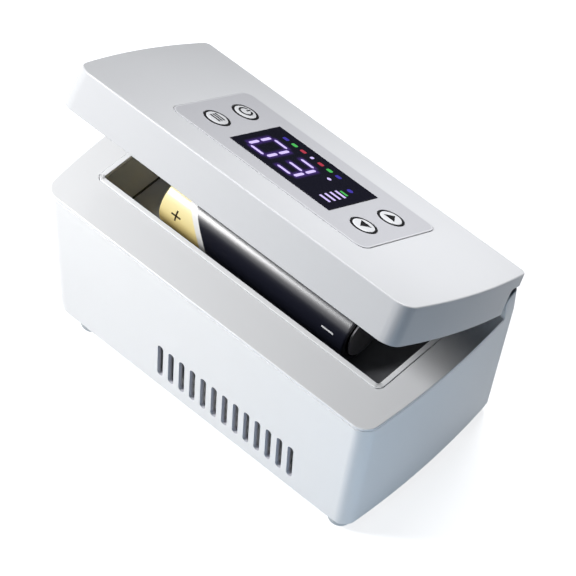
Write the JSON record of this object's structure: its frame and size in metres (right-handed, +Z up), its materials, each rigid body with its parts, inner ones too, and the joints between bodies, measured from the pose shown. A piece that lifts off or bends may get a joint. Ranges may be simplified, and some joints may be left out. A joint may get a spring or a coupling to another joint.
{
  "type": "insulin cooling case",
  "caption": "Table-top cooling case for insulin pens: vented body with a lined chamber and a battery in it, hinged lid with a display panel and push buttons.",
  "frame": {"origin": "centre of the bottom cover's underside, midway along and across the case", "axes": "+X along the case, with the vents nearer its +X end; -Y is the front with the vents; +Y is the hinge side; +Z up"},
  "size_m": [0.2, 0.1042, 0.1492],
  "materials": {
    "white_shell": "semi-gloss white moulded plastic",
    "pale_deck": "smooth pale grey moulded plastic",
    "white_trim": "glossy white moulded plastic",
    "silver_panel": "silver-grey printed panel film",
    "dark_tray": "dark grey satin moulded plastic",
    "dark_liner": "near-black satin moulded plastic",
    "black_glass": "polished black acrylic window",
    "black_jacket": "glossy shrink sleeve, black with a gold band",
    "bare_metal": "plated steel",
    "aluminium": "milled and extruded aluminium",
    "dark_rubber": "soft black seal rubber",
    "pale_rubber": "pale grey foot rubber",
    "white_foam": "closed-cell insulation foam",
    "green_board": "green coated circuit board",
    "black_plastic": "black moulded plastic",
    "ceramic": "white fired ceramic plates"
  },
  "bodies": {
    "base": {"base_shell": "white_shell", "bottom_cover": "white_shell", "deck_plate": "pale_deck", "well_frame": "white_trim", "chamber_tray": "dark_tray", "chamber_insulation": "white_foam", "cold_plate": "aluminium", "thermoelectric_module": "ceramic", "heat_sink": "aluminium", "fan_frame": "black_plastic", "control_board": "green_board", "power_jack": "black_plastic", "temperature_sensor": "black_plastic", "battery_body": "black_jacket", "battery_positive_cap": "bare_metal", "battery_negative_plate": "bare_metal", "foot_front_left": "pale_rubber", "foot_front_right": "pale_rubber", "foot_rear_left": "pale_rubber", "foot_rear_right": "pale_rubber", "cover_screw_front_left": "bare_metal", "cover_screw_front_right": "bare_metal", "cover_screw_rear_left": "bare_metal", "cover_screw_rear_right": "bare_metal", "hinge_pin_left": "bare_metal", "hinge_pin_right": "bare_metal", "strike_plate_left": "bare_metal", "strike_plate_right": "bare_metal"},
    "lid": {"lid_shell": "white_shell", "control_panel": "silver_panel", "display_window": "black_glass", "display_module": "black_plastic", "lid_board": "green_board", "lid_insulation": "white_foam", "lid_liner": "dark_liner", "lid_gasket": "dark_rubber", "lid_magnet_left": "bare_metal", "lid_magnet_right": "bare_metal", "key_switch_left_near": "black_plastic", "key_switch_left_far": "black_plastic", "key_switch_right_near": "black_plastic", "key_switch_right_far": "black_plastic"},
    "fan": {"fan_rotor": "black_plastic"},
    "left_near_button": {"button_left_near": "white_trim"},
    "left_far_button": {"button_left_far": "white_trim"},
    "right_near_button": {"button_right_near": "white_trim"},
    "right_far_button": {"button_right_far": "white_trim"}
  },
  "joints": [
    {"name": "lid_hinge", "type": "hinge", "parent": "base", "child": "lid", "pos_m": [0, 0.04695, 0.0865], "axis": [-1, 0, 0], "range_deg": [-30.5, 64.5]},
    {"name": "fan_spin", "type": "hinge", "parent": "base", "child": "fan", "pos_m": [0.0165, 0, 0.0095], "axis": [0, 0, 1], "continuous": true},
    {"name": "left_near_press", "type": "slide", "parent": "lid", "child": "left_near_button", "axis": [0, -0.5075, -0.8616], "range_m": [0, 0.0006], "stiffness_N_per_m": 2500},
    {"name": "left_far_press", "type": "slide", "parent": "lid", "child": "left_far_button", "axis": [0, -0.5075, -0.8616], "range_m": [0, 0.0006], "stiffness_N_per_m": 2500},
    {"name": "right_near_press", "type": "slide", "parent": "lid", "child": "right_near_button", "axis": [0, -0.5075, -0.8616], "range_m": [0, 0.0006], "stiffness_N_per_m": 2500},
    {"name": "right_far_press", "type": "slide", "parent": "lid", "child": "right_far_button", "axis": [0, -0.5075, -0.8616], "range_m": [0, 0.0006], "stiffness_N_per_m": 2500}
  ]
}
